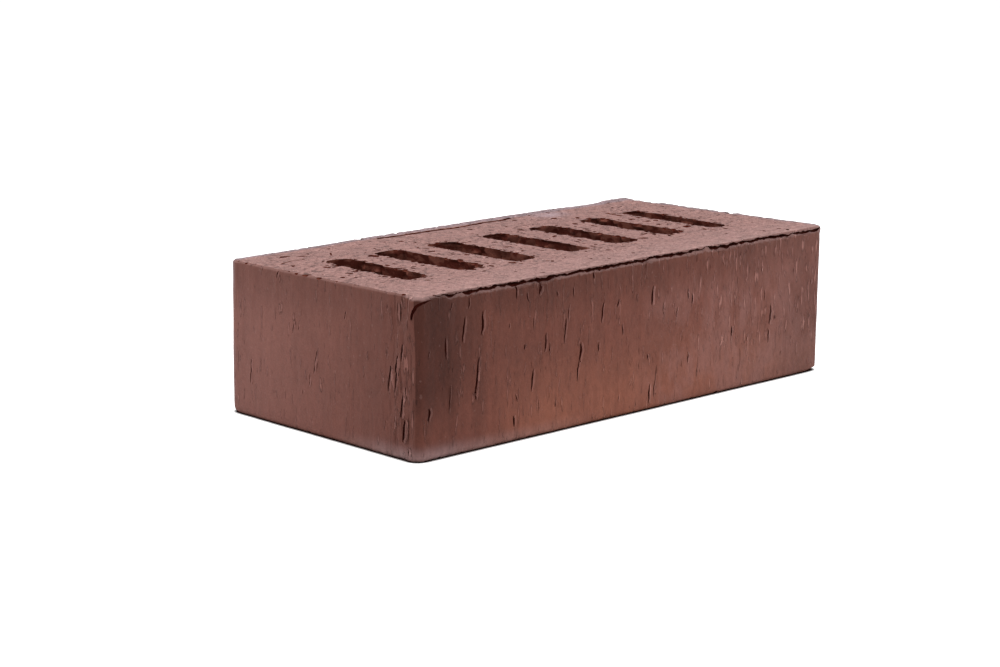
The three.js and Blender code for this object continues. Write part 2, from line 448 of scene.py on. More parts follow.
def grown(name, base, wall, inputs, build):
    """Runs base through a new node tree, and returns the result as a helper object.

    inputs holds a value for each named input of the tree. build(wires, geometry, signals) returns the
    geometry that the tree puts out. wall is the kind of face that it leaves, which the clay reads.
    """
    tree = bpy.data.node_groups.new(name, "GeometryNodeTree")
    tree.interface.new_socket("Geometry", in_out="OUTPUT", socket_type="NodeSocketGeometry")
    tree.interface.new_socket("Geometry", in_out="INPUT", socket_type="NodeSocketGeometry")
    sockets = {
        label: tree.interface.new_socket(label, in_out="INPUT", socket_type=SOCKETS[type(value)])
        for label, value in inputs.items()
    }
    wires = Wires(tree)
    entry = tree.nodes.new("NodeGroupInput")
    signals = {label: Signal(wires, entry.outputs[label]) for label in inputs}
    result = build(wires, Signal(wires, entry.outputs["Geometry"]), signals)
    result = wires.realized(result)
    if wall is not None:
        result = wires.marked(result, WALL_MARK, wall, domain="FACE")
        if wall == TORN:
            result = wires.marked(result, HOLLOW_MARK, 1.0)
    result = wires.node("GeometryNodeSetMaterial", None, {"Geometry": result, "Material": clay()})
    leave = tree.nodes.new("NodeGroupOutput")
    tree.links.new(result.socket, leave.inputs[0])
    modifier = base.modifiers.new(name, "NODES")
    modifier.node_group = tree
    for label, value in inputs.items():
        modifier[sockets[label].identifier] = value
    depsgraph = bpy.context.evaluated_depsgraph_get()
    mesh = bpy.data.meshes.new_from_object(base.evaluated_get(depsgraph), depsgraph=depsgraph)
    mesh.name = name
    base.modifiers.remove(modifier)
    return helper(name, mesh)


def helper(name, mesh):
    """An object that later steps read, and that firing the brick removes."""
    made = bpy.data.objects.new(name, mesh)
    bpy.context.scene.collection.objects.link(made)
    made[HELPER_MARK] = True
    return made


def points(name, places, edges=(), **marks):
    """A helper of loose points or lines. A mark is an attribute: a number or a vector for each point."""
    mesh = bpy.data.meshes.new(name)
    mesh.from_pydata(places, list(edges), [])
    for label, values in marks.items():
        single = isinstance(values[0], float)
        attribute = mesh.attributes.new(label, "FLOAT" if single else "FLOAT_VECTOR", "POINT")
        for entry, value in zip(attribute.data, values):
            setattr(entry, "value" if single else "vector", value)
    return helper(name, mesh)


def path_edges(count):
    return [(index, index + 1) for index in range(count - 1)]


# --- Forms that the clay and the tools take --------------------------------------------------


def outline(wires, along_x, along_y, radius, spacing):
    """A rounded rectangle, for a sweep up a vertical line."""
    sides = {"Width": along_x, "Height": along_y}
    corners = wires.node("GeometryNodeCurvePrimitiveQuadrilateral", None, sides)
    rounding = {"Curve": corners, "Count": CORNER_POINTS, "Radius": radius, "Limit Radius": True}
    return wires.resampled(wires.node("GeometryNodeFilletCurve", {"mode": "POLY"}, rounding), spacing)


def sweep(wires, line, section, scale=1.0):
    sockets = {"Curve": line, "Profile Curve": section, "Scale": scale, "Fill Caps": True}
    return wires.node("GeometryNodeCurveToMesh", None, sockets)


def outward(wires):
    """The level direction in which an upright face looks."""
    flat = wires.vector("MULTIPLY", wires.node("GeometryNodeInputNormal"), (1.0, 1.0, 0.0))
    return wires.vector("NORMALIZE", flat)


def arris_inset(past, radius):
    """How far a rounded arris stands in from its face, at a height past the start of its curve."""
    share = (past / radius).most(0.0).least(1.0)
    return radius * (1.0 - (1.0 - share * share) ** 0.5)


def near_corner(wires, place, size, along, across, end=-0.5, side=-0.5):
    """1 at a corner, and 0 from a distance along the stretcher and across the header. The corner is at the
    left where end is -0.5 and at the right where it is 0.5, and side says front or back likewise."""
    x, y, _ = wires.parts(place)
    from_corner = wires.point((x - size["Length"] * end) / along, (y - size["Width"] * side) / across, 0.0)
    return 1.0 - wires.vector("LENGTH", from_corner, out=1).rise(0.1, 1.0)


def column_form(wires, spine, size):
    """The clay as it leaves the die: rounded uprights, and faces streaked and rippled the way it slid."""
    section = outline(wires, size["Length"], size["Width"], size["Corner radius"], size["Point spacing"])
    column = sweep(wires, wires.line(spine), section)
    place = wires.place()
    _, y, z = wires.parts(place)
    out = outward(wires)
    facing_x, facing_y, _ = wires.parts(out)
    front = (-facing_y).most(0.0)
    header = (-facing_x).most(0.0)
    far_header = facing_x.most(0.0)

    relief = size["Drag relief"]
    streaks = wires.lumps(place, (3.0, 3.0, 28), relief * 3.0, 2.0)
    ripples = wires.lumps(place, (6, 6, 60), relief * 5.0)
    sway = wires.lumps(place, 70, relief * 7.0)
    rope_zone = header * (y + size["Width"] * 0.5).ramp(23, 12) + 0.08
    ropes = wires.lumps(place, (3.0, 3.0, 12), 3.0 * MM, 3.0) * rope_zone

    worn = near_corner(wires, place, size, 8 * MM, 7 * MM, 0.5)
    rounded = near_corner(wires, place, size, 9 * MM, 7 * MM, side=0.5)
    foot = size["Lower arris"] + worn * 0.8 * MM + rounded * 1.0 * MM
    lower = arris_inset(foot - z, foot)
    crumbs = wires.lumps(place, 3.5, 2.0 * MM, 3.0)
    smear = near_corner(wires, place, size, 18 * MM, 8 * MM)
    soft = size["Upper arris"] * (1.0 - front * 0.6 + header * 0.3) + smear * 2.2 * MM + worn * 0.8 * MM
    upper_radius = (soft + crumbs * (header + far_header) * 0.8).most(0.15 * MM)
    upper = arris_inset(z - size["Height"] + upper_radius, upper_radius)
    edge_bumps = far_header * z.rise(size["Height"] - 9 * MM, size["Height"]) * crumbs * 2.0
    relief_out = streaks + ripples + sway + ropes + edge_bumps - lower - upper
    return wires.moved(column, wires.scaled(out, relief_out))


def wire_form(wires, _, size):
    """The clay that a cutting wire parts from the brick: a slab whose inner face, at Rise, has the wire's
    drag. Side is 1 for the slab above the brick and -1 for the one below, whose cut is half as rough."""
    margin = 8 * MM
    depth = 6 * MM
    long_side = size["Length"] + margin * 2
    short_side = size["Width"] + margin * 2
    block = wires.node(
        "GeometryNodeMeshCube",
        None,
        {
            "Size": wires.point(long_side, short_side, depth),
            "Vertices X": long_side / size["Point spacing"],
            "Vertices Y": short_side / size["Point spacing"],
        },
    )
    centre = size["Rise"] + size["Side"] * depth * 0.5
    slab = wires.shifted(block, wires.point(z=centre))
    place = wires.place()
    x, y, z = wires.parts(place)
    inner = 1.0 - ((z - size["Rise"]) * size["Side"]).above(depth * 0.5)
    relief = size["Wire relief"]
    broad = wires.lumps(place, 60, relief * 2.6)
    waves = wires.lumps(place, (26, 7, 9), relief * 1.6)
    grit = wires.lumps(place, 2.8, relief * 3.0, 3.0)
    above = size["Side"].most(0.0)
    below = 1.0 - above
    to_far_end = size["Length"] * 0.5 - x
    to_back = size["Width"] * 0.5 - y
    far_corner = to_far_end.ramp(24, 16) * to_back.ramp(7, 3) * 0.7 * MM
    far_lumps = wires.lumps(place, (6, 4, 6), 1.6 * MM, 3.0) * to_far_end.ramp(7, 1)
    back_burr = to_back.ramp(9, 1) * to_far_end.ramp(24, 60) * to_far_end.ramp(215, 165)
    back_lumps = wires.lumps(place, (5, 4, 5), 0.5 * MM, 2.0) + 0.6 * MM
    smear = near_corner(wires, place, size, 17 * MM, 8 * MM) * 0.5 * MM
    dropped = near_corner(wires, place, size, 13 * MM, 26 * MM, 0.5) * 1.7 * MM
    dropped = dropped + near_corner(wires, place, size, 14 * MM, 10 * MM, side=0.5) * 0.5 * MM
    rims = far_corner + far_lumps + back_burr * back_lumps - smear
    cut = (broad + waves + grit) * (above + below * 0.5) + rims * above + dropped * below
    return wires.moved(slab, wires.point(z=(cut + below * relief) * inner))


def core_form(wires, centres, size):
    """The cores that the column slides over: one rough-walled blade at each point."""
    sides = size["Core width"], size["Core length"]
    section = outline(wires, *sides, size["Core radius"], size["Point spacing"])
    levels = wires.node("GeometryNodeMeshLine", None, {"Count": size["Levels"], "Offset": (0.0, 0.0, 1.0)})
    share = wires.node("GeometryNodeInputIndex") / (size["Levels"] - 1.0)
    depth = (size["Height"] + 4 * MM) * share**1.6
    rings = {"Geometry": levels, "Position": wires.point(z=size["Height"] + 1.5 * MM - depth)}
    blade = sweep(wires, wires.line(wires.node("GeometryNodeSetPosition", None, rings)), section)
    turn = wires.turned(UP, wires.mark("turn"))
    blades = wires.set_on(centres, blade, turn, wires.point(wires.mark("wide"), wires.mark("long"), 1.0))
    cores = wires.realized(blades)
    place = wires.place()
    _, _, z = wires.parts(place)
    torn = wires.noise(place, (12, 12, 30)).rise(0.38, 0.60)
    under_rim = z.rise(size["Height"] - 16 * MM, size["Height"] - 3 * MM)
    tearing = size["Tearing"]
    beads = wires.noise(place, (4.2, 4.2, 3.0), 3.0)
    hollows = (beads + under_rim * 0.05).rise(0.46, 0.57) * (torn * 0.8 + 0.2)
    crumbs = wires.lumps(place, 2.4, tearing * 1.8) * (torn * 0.8 + 0.2)
    waves = wires.lumps(place, 22, tearing * 1.2)
    at_rim = 1.0 - z.rise(size["Height"] - 1.6 * MM, size["Height"] - 0.2 * MM) * 0.55
    depth = hollows * (tearing * 3.0 + under_rim * tearing * 2.0) * at_rim
    rough = wires.moved(cores, wires.scaled(outward(wires), depth + crumbs + waves))
    return wires.marked(rough, HOLLOW_MARK, hollows)


def seam_form(wires, path, size):
    """A cut under the burr: its section swept along the front arris, ragged and wandering."""
    section = wires.line(wires.shape(size["Section"]))
    fine = wires.resampled(wires.line(path), size["Point spacing"])
    place = wires.place()
    ragged = wires.lumps(place, (6, 9, 9), size["Raggedness"], 3.0)
    frayed = wires.lumps(place, (2.6, 2.0, 2.0), size["Raggedness"] * 1.4)
    return wires.moved(sweep(wires, fine, section, wires.mark("mouth")), wires.point(z=ragged + frayed))


def tear_form(wires, placed, size):
    """Upright lenses on the faces of the column. As cutters they are the tears that the die dragged open.
    Pushed to one side and flattened, with the same seed, they are the ridges that it lifted beside them."""
    facing = wires.node("GeometryNodeInputNormal")
    facing_x, _, facing_z = wires.parts(facing)
    _, y, z = wires.parts(wires.place())
    margin = 6 * MM
    upright = z.above(margin) * (size["Height"] - margin - z).above(0.0) * (1.0 - abs(facing_z).above(0.2))
    clear = wires.nearest("POINTS", placed).above(margin)
    hidden = 1.0 - (y + size["Width"] * 0.5).rise(4 * MM, 0.0).most((-facing_x).above(0.7))
    near_arris = (-facing_x).above(0.7) * (y + size["Width"] * 0.5).ramp(24, 10)
    column = wires.shape(size["Column"])
    found = wires.scattered(column, upright * clear, 0.14 + hidden * 0.42 + near_arris * 0.8, size)
    short = wires.between(0.0, 1.0, 11)
    scattered = wires.marked(found, "facing", found.also(1), "FLOAT_VECTOR")
    scattered = wires.marked(scattered, "tall", (short**3 * 4.0 + 0.9) * MM)
    scattered = wires.marked(scattered, "wide", (wires.between(0.12, 0.22, 12) + short * 0.12) * MM)
    scattered = wires.marked(scattered, "deep", wires.between(0.25, 0.7, 13) * MM)
    scattered = wires.marked(scattered, "lean", wires.between(-0.14, 0.04, 14))
    joined = wires.joined([placed, scattered])
    ball = wires.node("GeometryNodeMeshUVSphere", None, {"Segments": 4, "Rings": 9, "Radius": 1.0})
    lens = wires.shifted(ball, wires.point(x=-size["Shift"]))
    upright_turn = wires.node(
        "FunctionNodeAlignRotationToVector",
        {"axis": "Y", "pivot_axis": "Z"},
        {"Vector": wires.mark("facing", "FLOAT_VECTOR")},
    )
    turns = {"Rotation": upright_turn, "Rotate By": wires.turned(BACK, wires.mark("lean"))}
    turn = wires.node("FunctionNodeRotateRotation", {"rotation_space": "LOCAL"}, turns)
    shares = (("wide", "Widen"), ("deep", "Deepen"), ("tall", "Lengthen"))
    scale = wires.point(*[wires.mark(mark) * size[share] for mark, share in shares])
    lenses = wires.set_on(joined, lens, turn, scale)
    bent = frayed(wires, lenses, size["Bend"], (9, 9, 5))
    return frayed(wires, bent, size["Bend"] * 0.35, (9, 9, 1.5))


def frayed(wires, instances, raggedness, grain):
    """The instances as one mesh, with its points pushed about."""
    cast = wires.realized(instances)
    push = wires.vector("SUBTRACT", wires.noise(wires.place(), grain, out=1), (0.5, 0.5, 0.5))
    return wires.moved(cast, wires.scaled(push, raggedness))


def pit_form(wires, placed, size):
    """Lumps scattered over a bed, where its wire passed, thickest round the cores. As cutters they are the
    holes that the wire tore. Left on the brick they are grains that stand proud of it."""
    place = wires.place()
    x, y, z = wires.parts(place)
    margin = 3 * MM
    to_end = size["Length"] * 0.5 - abs(x)
    to_side = size["Width"] * 0.5 - abs(y)
    on_brick = to_end.above(margin) * to_side.above(margin)
    on_cut = 1.0 - abs(z - size["Rise"]).above(2 * MM)
    to_core = wires.nearest("FACES", wires.shape(size["Cores"]))
    to_arris = to_end.least(to_side)
    on_arris = (1.4 * MM - abs(to_arris - 0.6 * MM)).above(0.0)
    # The burr keeps the front arris of the upper bed whole
    on_arris = on_arris * (y + size["Width"] * 0.5).above(size["Rise"] * 0.1 - 2 * MM)
    on_rim = on_arris.most((0.9 * MM - to_core).above(0.0))
    where = on_brick * (1.0 - size["On rims"]) + on_rim * size["On rims"]
    clumps = wires.noise(place, 16).rise(0.42, 0.62).most(size["On rims"])
    slab = wires.shape(size["Wire"])
    where = where * on_cut
    thickness = clumps * 0.3 + (1.0 - to_core.ramp(1.0, 10)) * 0.75 + size["On rims"] * 0.4 + 0.08
    found = wires.scattered(slab, where, thickness, size)
    share = wires.between(0.0, 1.0, 21)
    scattered = wires.marked(found, "radius", size["Least"] + (size["Most"] - size["Least"]) * share**2)
    joined = wires.joined([placed, scattered])
    ball = wires.node("GeometryNodeMeshIcoSphere", None, {"Radius": 1.0, "Subdivisions": size["Facets"]})
    radius = wires.mark("radius")
    turn = wires.turned(UP, wires.between(0.0, math.pi, 22))
    scale = wires.point(radius * wires.between(1.0, 1.9, 23), radius, radius * size["Flatten"])
    return frayed(wires, wires.set_on(joined, ball, turn, scale), size["Raggedness"], 1.5)


def scratch_form(wires, paths, size):
    """Thin furrows along lines drawn on the bed."""
    fine = wires.resampled(wires.line(paths), size["Point spacing"])
    round_section = wires.node("GeometryNodeCurvePrimitiveCircle", None, {"Resolution": 6, "Radius": 1.0})
    furrow = sweep(wires, fine, round_section, wires.mark("mouth"))
    return frayed(wires, furrow, size["Raggedness"], 2.0)


def fired_form(wires, _, parts):
    """The brick: the ridged column, less what the wires cut off, plus the grains on its bed, less the slots
    and all that was torn out. Bits that came loose are swept off. Then the kiln pulls the uprights out of
    true."""

    def join(operation, sockets):
        settings = {"operation": operation, "solver": "MANIFOLD"}
        return wires.node("GeometryNodeMeshBoolean", settings, sockets)

    def shapes(labels):
        return [wires.shape(parts[label]) for label in labels]

    ridged = join("UNION", {"Mesh 2": shapes(["Column", "Ridges"])})
    cut = join("DIFFERENCE", {"Mesh 1": ridged, "Mesh 2": shapes(WIRES)})
    gritty = join("UNION", {"Mesh 2": [cut, wires.shape(parts["Grains"])]})
    torn = join("DIFFERENCE", {"Mesh 1": gritty, "Mesh 2": shapes(CUTTERS)})
    island = wires.node("GeometryNodeInputMeshIsland")
    counted = {"Value": 1.0, "Group ID": island}
    faces = wires.node("GeometryNodeAccumulateField", {"domain": "FACE"}, counted, out=2)
    loose = {"Geometry": torn, "Selection": LOOSE_FACES - faces}
    whole = wires.node("GeometryNodeDeleteGeometry", {"domain": "FACE"}, loose)
    x, y, z = wires.parts(wires.place())
    along = x / parts["Length"] + 0.5
    across = y / parts["Width"] + 0.5

    def drift(share, one, other):
        return wires.node("ShaderNodeMix", {"data_type": "VECTOR"}, {0: share, 4: one, 5: other}, out=1)

    front = drift(along, parts["Near drift"], parts["Right drift"])
    back = drift(along, parts["Left drift"], parts["Far drift"])
    lift = wires.point(1.0, 1.0, z / parts["Height"])
    pulled = wires.moved(whole, wires.vector("MULTIPLY", drift(across, front, back), lift))
    smooth = wires.node("GeometryNodeSetShadeSmooth", None, {"Geometry": pulled, "Shade Smooth": True})
    crease = wires.node("GeometryNodeInputMeshEdgeAngle").above(parts["Crease"])
    return wires.node(
        "GeometryNodeSetShadeSmooth",
        {"domain": "EDGE"},
        {"Geometry": smooth, "Selection": crease, "Shade Smooth": False},
    )


# --- Finish ----------------------------------------------------------------------------------


def blank(name):
    """A new material, and the wires of its empty tree."""
    made = bpy.data.materials.new(name)
    made.use_nodes = True
    made.node_tree.nodes.clear()
    return made, Wires(made.node_tree)


def clay():
    """The fired clay, made once. Its colours come from the kiln, with shade painted into tears, slots and
    creases, and highlights and sheen painted onto ridges, upturned arrises and the beds. Its grain comes
    from the die and the wire.
    Ramps count in mm: from_left.ramp(15, 7) is 1 within 7 mm of the left header, and 0 from 15 mm on."""
    made = bpy.data.materials.get("red_clay")
    if made:
        return made
    colours = bpy.context.scene.clay_brick_colours
    made, wires = blank("red_clay")
    place = wires.node("ShaderNodeTexCoord", out=3)
    x, y, z = wires.parts(place)
    _, _, tilt = wires.parts(place.also(1))
    wall = wires.node("ShaderNodeAttribute", {"attribute_name": WALL_MARK}, out=2)

    def past(kind):
        """1 on the faces whose mark is higher than this kind's."""
        return wall.above(kind + 0.5)

    bed = past(DRAWN) * (1.0 - past(WIRE_CUT))
    cored = past(WIRE_CUT) * (1.0 - past(CORED))
    slit = past(LIFTED)
    lifted = past(TORN) - slit
    torn = past(CORED) - past(TORN)
    drawn = 1.0 - past(DRAWN) + lifted
    hollow = wires.node("ShaderNodeAttribute", {"attribute_name": HOLLOW_MARK}, out=2)
    from_left = x - LOW.x
    from_front = y - LOW.y
    past_arris = (from_left - from_front + z.ramp(38, 62) * 1.0 * MM).ramp(-4.0, -3.0)
    front = drawn * past_arris * from_front.ramp(6, 4)
    header = drawn * (1.0 - front) * from_left.ramp(6, 4)
    arris_zone = drawn * (1.0 - front) * from_left.ramp(4, 2) * from_front.ramp(26, 8)

    blotches = wires.noise(place, 42, 3.0)
    patches = wires.noise(place, (9, 9, 16), 3.0)
    leather = wires.noise(place, (2.2, 2.2, 3.2), 3.0, 0.6)
    sliding = wires.noise(place, (13, 13, 30), 2.0).rise(0.42, 0.62)
    streaks = wires.noise(place, (2.2, 2.2, 16), 3.0, 0.6)
    fine_streaks = wires.noise(place, (1.0, 1.0, 7), 2.0)
    grain = wires.noise(place, 0.7, 3.0, 0.6)
    stipple = wires.noise(place, 2.0, 4.0, 0.75)
    crumbs = wires.noise(place, (4.5, 3.0, 3.0), 3.0, 0.65)
    dashes = wires.noise(place, (0.9, 0.9, 6.5), 2.0, 0.4)
    folds = wires.noise(place, (1.4, 1.4, 14), 2.0, 0.5)
    # Creases: dark dashes in the drawn faces and folds near the near arris, painted shade where the clay
    # creased
    crease = drawn * (dashes + sliding * front * 0.04 + arris_zone * 0.03).rise(0.72, 0.77)
    crease = crease * (1.0 - header * 0.75)
    crease = crease.most(arris_zone * folds.rise(0.57, 0.64) * 0.62)
    ribbed = front * from_left.ramp(110, 215) * z.ramp(8, 26) * 0.07
    ribs = wires.noise(place, (1.5, 1.5, 9), 2.0, 0.45)
    welts = drawn * (ribs + sliding * front * 0.03 + ribbed + arris_zone * 0.09).rise(0.64, 0.74)
    # How strong the painted highlights on welts and ridges are: weaker on the header and the left of the
    # front
    clear = (1.0 - header * 0.4) * (1.0 - front * from_left.ramp(150, 80) * 0.4)
    bands = wires.noise(place, (5, 5, 50), 2.0, 0.4)
    pocks = wires.noise(place, (2.4, 2.0, 2.0), 3.0, 0.65).rise(0.57, 0.66)
    # Light flecks on the beds: partly grog, partly painted highlights on its grains
    flecks = wires.noise(place, (1.8, 1.2, 1.2), 3.0, 0.7).rise(0.61, 0.67)
    worked = from_front.ramp(14, 34) * from_front.ramp(116, 100) * 0.4 + 0.6

    def coat(share, pigment):
        """The colour so far, with another over its share."""
        return wires.tinted(share, colour, tuple(pigment))

    colour = tuple(colours.body)
    colour = coat(blotches.rise(0.42, 0.70) * 0.28, colours.umber)
    # The header turns mauve, more towards its back: partly the kiln's flash, partly painted light from the
    # left
    colour = coat(header * (0.42 + from_front.ramp(40, 110) * 0.3), colours.mauve)
    flame = front * z.ramp(44, 3) * from_left.ramp(25, 70) * from_left.ramp(235, 160)
    colour = coat(flame * (0.35 + patches * 0.9), colours.flame)
    flash = front * from_left.ramp(115, 150) * z.ramp(62, 40)
    # More orange and a little paler low on the right of the front
    lower_right = front * from_left.ramp(150, 210) * z.ramp(30, 8)
    colour = coat(lower_right * 0.4, colours.flame)
    colour = coat(lower_right * 0.1, colours.dust_and_sheen)
    colour = coat(flash * patches.rise(0.35, 0.65) * 0.6, colours.mauve)
    # Umber near the left end of the front, along its upper part and near its right end: partly the kiln's
    # smoke, partly painted shade at the near arris and under the burr
    smoked = from_left.ramp(60, 7) + from_left.ramp(18, 6) * 0.3
    smoked = smoked.most(z.ramp(42, 62) * (0.42 + from_left.ramp(170, 50) * 0.2))
    smoked = smoked.most(from_left.ramp(205, 240) * 0.32) * front
    lighter_foot = 1.0 - z.ramp(42, 8) * from_left.ramp(75, 25) * 0.6
    colour = coat(smoked * lighter_foot, colours.umber)
    # Paler towards the right end of the front: partly painted light
    colour = coat(front * from_left.ramp(150, 240) * 0.07, colours.dust_and_sheen)
    shaded = header * (from_front.ramp(70, 5) * 0.5).most(z.ramp(40, 64) * 0.4)
    colour = coat(shaded, colours.umber)
    # Painted reflection of the white table: the faces turn pale just above the table near the near corner
    table_reflection = drawn * z.ramp(7, 1.0) * from_left.ramp(120, 20) * from_front.ramp(60, 14)
    table_reflection = table_reflection * (0.1 + patches * 0.6)
    # Painted highlight: drawn faces that turn upward take the pale bed colour, most round the smear at the
    # near corner
    upturned_highlight = (drawn - lifted) * tilt.rise(0.15, 0.65)
    upturned_highlight = upturned_highlight * (0.2 + (from_left + from_front * 2.0).ramp(22, 9) * 0.45)
    colour = coat(table_reflection.most(upturned_highlight), colours.dust_and_sheen)
    spot = wires.point(from_left, from_front, 0.0)
    from_bloom = wires.vector("DISTANCE", spot, (186 * MM, 113 * MM, 0.0), out=1)
    bloom = from_bloom.ramp(16, 4) * patches * 0.8
    # The beds are paler: partly their own gritty clay, partly painted sheen, and paler still near the front
    # arris
    colour = coat(bed * (0.61 + from_front.ramp(34, 6) * 0.12 + flecks * 0.4), colours.dust_and_sheen)
    # Painted highlights: the ridges beside tears and the welts turn paler
    colour = coat((lifted * 0.24 + welts * 0.13) * clear, colours.dust_and_sheen)
    # Painted highlight along the burr: the rim of the bed and the lip under the seam take the pale bed
    # colour
    below_top = from_left * 0.002 + 66.0 * MM - z
    burr = (below_top + (leather - 0.5) * 3.0 * MM).ramp(3.0, 2.2) * 0.85 * from_front.ramp(4, 2.6)
    burr = (drawn + bed) * burr * from_left.ramp(12, 20) * 0.42
    colour = coat(burr, colours.dust_and_sheen)
    # Lilac-grey and paler low on the faces near the near corner
    pale_foot = drawn * z.ramp(9, 1) * (from_left + from_front).ramp(40, 14) * patches * 0.24
    back_rim = ((HIGH.y - y).least(HIGH.x - x + 1.5 * MM) + (patches - 0.5) * 3 * MM).ramp(6.0, 4.2)
    back_rim = back_rim * (drawn * 0.3 + bed)
    right_arris = drawn * (HIGH.x - x).ramp(3.0, 0.8) * from_front.ramp(8, 4)
    lilac_grey = (bed * bloom).most(back_rim * 0.6).most(pale_foot).most(right_arris * 0.45)
    colour = coat(lilac_grey, colours.bloom)
    pitted = z.ramp(62, 64).most(z.ramp(3, 1)) * (1.0 - from_front.ramp(7, 5))
    # Redder in the pocks and dark crumbs of the bed: partly a stain, partly painted shade in the pits
    stain_and_pit_shade = (pocks * worked * 0.12 + crumbs.rise(0.46, 0.34) * 0.12) * bed
    colour = coat(stain_and_pit_shade, colours.core)
    # Painted shade in recesses: the slot walls in patches, the tears, the slit and the deep hollows take the
    # deep red, partly the torn clay's own colour
    slot_shade_patches = wires.noise(place, (6, 6, 3), 3.0).rise(0.44, 0.56)
    inside = cored * (0.08 + slot_shade_patches * 0.7) + torn * (0.92 - pitted * 0.5 - header * 0.22) + slit * 0.85
    colour = coat(inside.most(hollow * (0.9 - cored * 0.35)).least(1.0), colours.core)
    # Darker near the near arris of the front and on the header towards it: partly the clay's tone, partly
    # painted shade. The other terms make parts of the front a little darker or lighter
    dimmed = (
        front * from_left.ramp(15, 7) * z.ramp(34, 54) * 0.18
        + header * from_front.ramp(95, 70) * from_front.ramp(12, 30) * z.ramp(4, 24) * 0.06
        + front * from_left.ramp(170, 120) * z.ramp(6, 26) * 0.05
        - front * z.ramp(22, 6) * from_left.ramp(200, 120) * 0.04
        - flash * from_left.ramp(215, 185) * 0.07
    )
    shade = (
        1.0
        - dimmed
        + (streaks - 0.5) * (0.35 * drawn * sliding)
        + (fine_streaks - 0.5) * (0.4 * drawn * (sliding * 0.7 + 0.3) * (1.0 - header * 0.7))
        + (patches - 0.5) * (0.26 + 0.39 * bed)
        + (bands - 0.5) * (0.2 * drawn + front * from_left.ramp(80, 20) * 0.6)
        # Painted highlights on the welts and on the ridges beside tears
        + (welts * 0.6 + lifted * 0.38) * clear
        - back_rim * 0.2
        - right_arris * 0.4
        + flecks * 0.35 * bed
        + (leather - 0.5) * (drawn * (0.5 - header * 0.22))
        + (grain - 0.5) * 0.2
        + (stipple - 0.5) * (1.2 * bed)
        + (crumbs - 0.5) * (0.6 * bed)
        # Painted shade in the pocks of the bed
        - pocks * worked * 0.3 * bed
    )
    # Painted shade: darker in the creases and the torn clay, less so in the pits of the beds
    colour = wires.scaled(colour, shade * (1.0 - crease * 0.34) * (1.0 - torn * (0.4 - pitted * 0.4)))
    grog = wires.noise(place, 1.6, 1.0, 0.4).rise(0.72, 0.77) * (0.12 + 0.65 * bed)
    colour = coat(grog, colours.dust_and_sheen)

    roughness = 0.66 + (patches - 0.5) * 0.2 + bed * 0.06
    pores = wires.noise(place, 0.9, 2.0, 0.5).rise(0.60, 0.68)
    dragged = leather * 0.9 + streaks * sliding * 0.7 + fine_streaks * sliding * 0.2
    height = (
        (dragged + welts * 2.2 - crease * 0.8) * drawn
        + grain * (0.25 + 0.7 * cored)
        + (stipple * 1.6 + crumbs * 2.0 - pores - pocks * worked * 1.6) * bed
    )
    relief = {"Strength": 1.0, "Distance": GRAIN_DEPTH * MM, "Height": height}
    bump = wires.node("ShaderNodeBump", None, relief)

    def surface(rough, gloss):
        sockets = {"Base Color": colour, "Roughness": rough, "Normal": bump, "Specular IOR Level": gloss}
        return wires.node("ShaderNodeBsdfPrincipled", None, sockets)

    satin = surface(roughness, 0.1)
    crumbled = surface(1.0, 0.0)
    dull = (torn + slit + cored * 0.8).most(hollow).most(crease * 0.8).least(1.0)
    skin = wires.node("ShaderNodeMixShader", None, {0: dull, 1: satin, 2: crumbled})
    wires.node("ShaderNodeOutputMaterial", None, {"Surface": skin})
    return made


def seen_by_camera(wires):
    """1 for what the camera sees, straight or by way of a glossy or a clear surface."""
    path = wires.node("ShaderNodeLightPath")
    return path.most(path.also(3)).most(path.also(6))


def white(name, shine):
    """A white that the camera and shiny surfaces see brighter than the light that it gives, by shine. Where
    ambient occlusion finds the narrow gap under an arris, a contact shadow is painted into its colour and
    its glow."""
    made, wires = blank(name)
    seen = seen_by_camera(wires)
    gap = {"Distance": 4 * MM}
    # Painted contact shadow: ambient occlusion darkens the table's colour and glow in the gap under an arris
    open_air = wires.node("ShaderNodeAmbientOcclusion", {"samples": 16}, gap, out=1).rise(0.35, 0.85)
    pale = wires.tinted(open_air, TABLE_CONTACT_SHADOW, TABLE_WHITE)
    matt = wires.node("ShaderNodeBsdfDiffuse", None, {"Color": pale})
    light = {"Color": WHITE, "Strength": seen * open_air * shine}
    glow = wires.node("ShaderNodeEmission", None, light)
    both = wires.node("ShaderNodeAddShader", None, {0: matt, 1: glow})
    wires.node("ShaderNodeOutputMaterial", None, {"Surface": both})
    return made


# --- Sizes and colours that a user would change ----------------------------------------------


def number(name, description, default, **kind):
    return bpy.props.FloatProperty(name=name, description=description, default=default, **kind)


def length(name, description, default):
    return number(name, description, default, unit="LENGTH", precision=5)


def angle(name, description, degrees):
    return number(name, description, math.radians(degrees), subtype="ANGLE")


def colour(name, description, red, green, blue):
    kind = {"size": 4, "subtype": "COLOR", "min": 0.0, "max": 1.0}
    default = (red, green, blue, 1.0)
    return bpy.props.FloatVectorProperty(name=name, description=description, default=default, **kind)


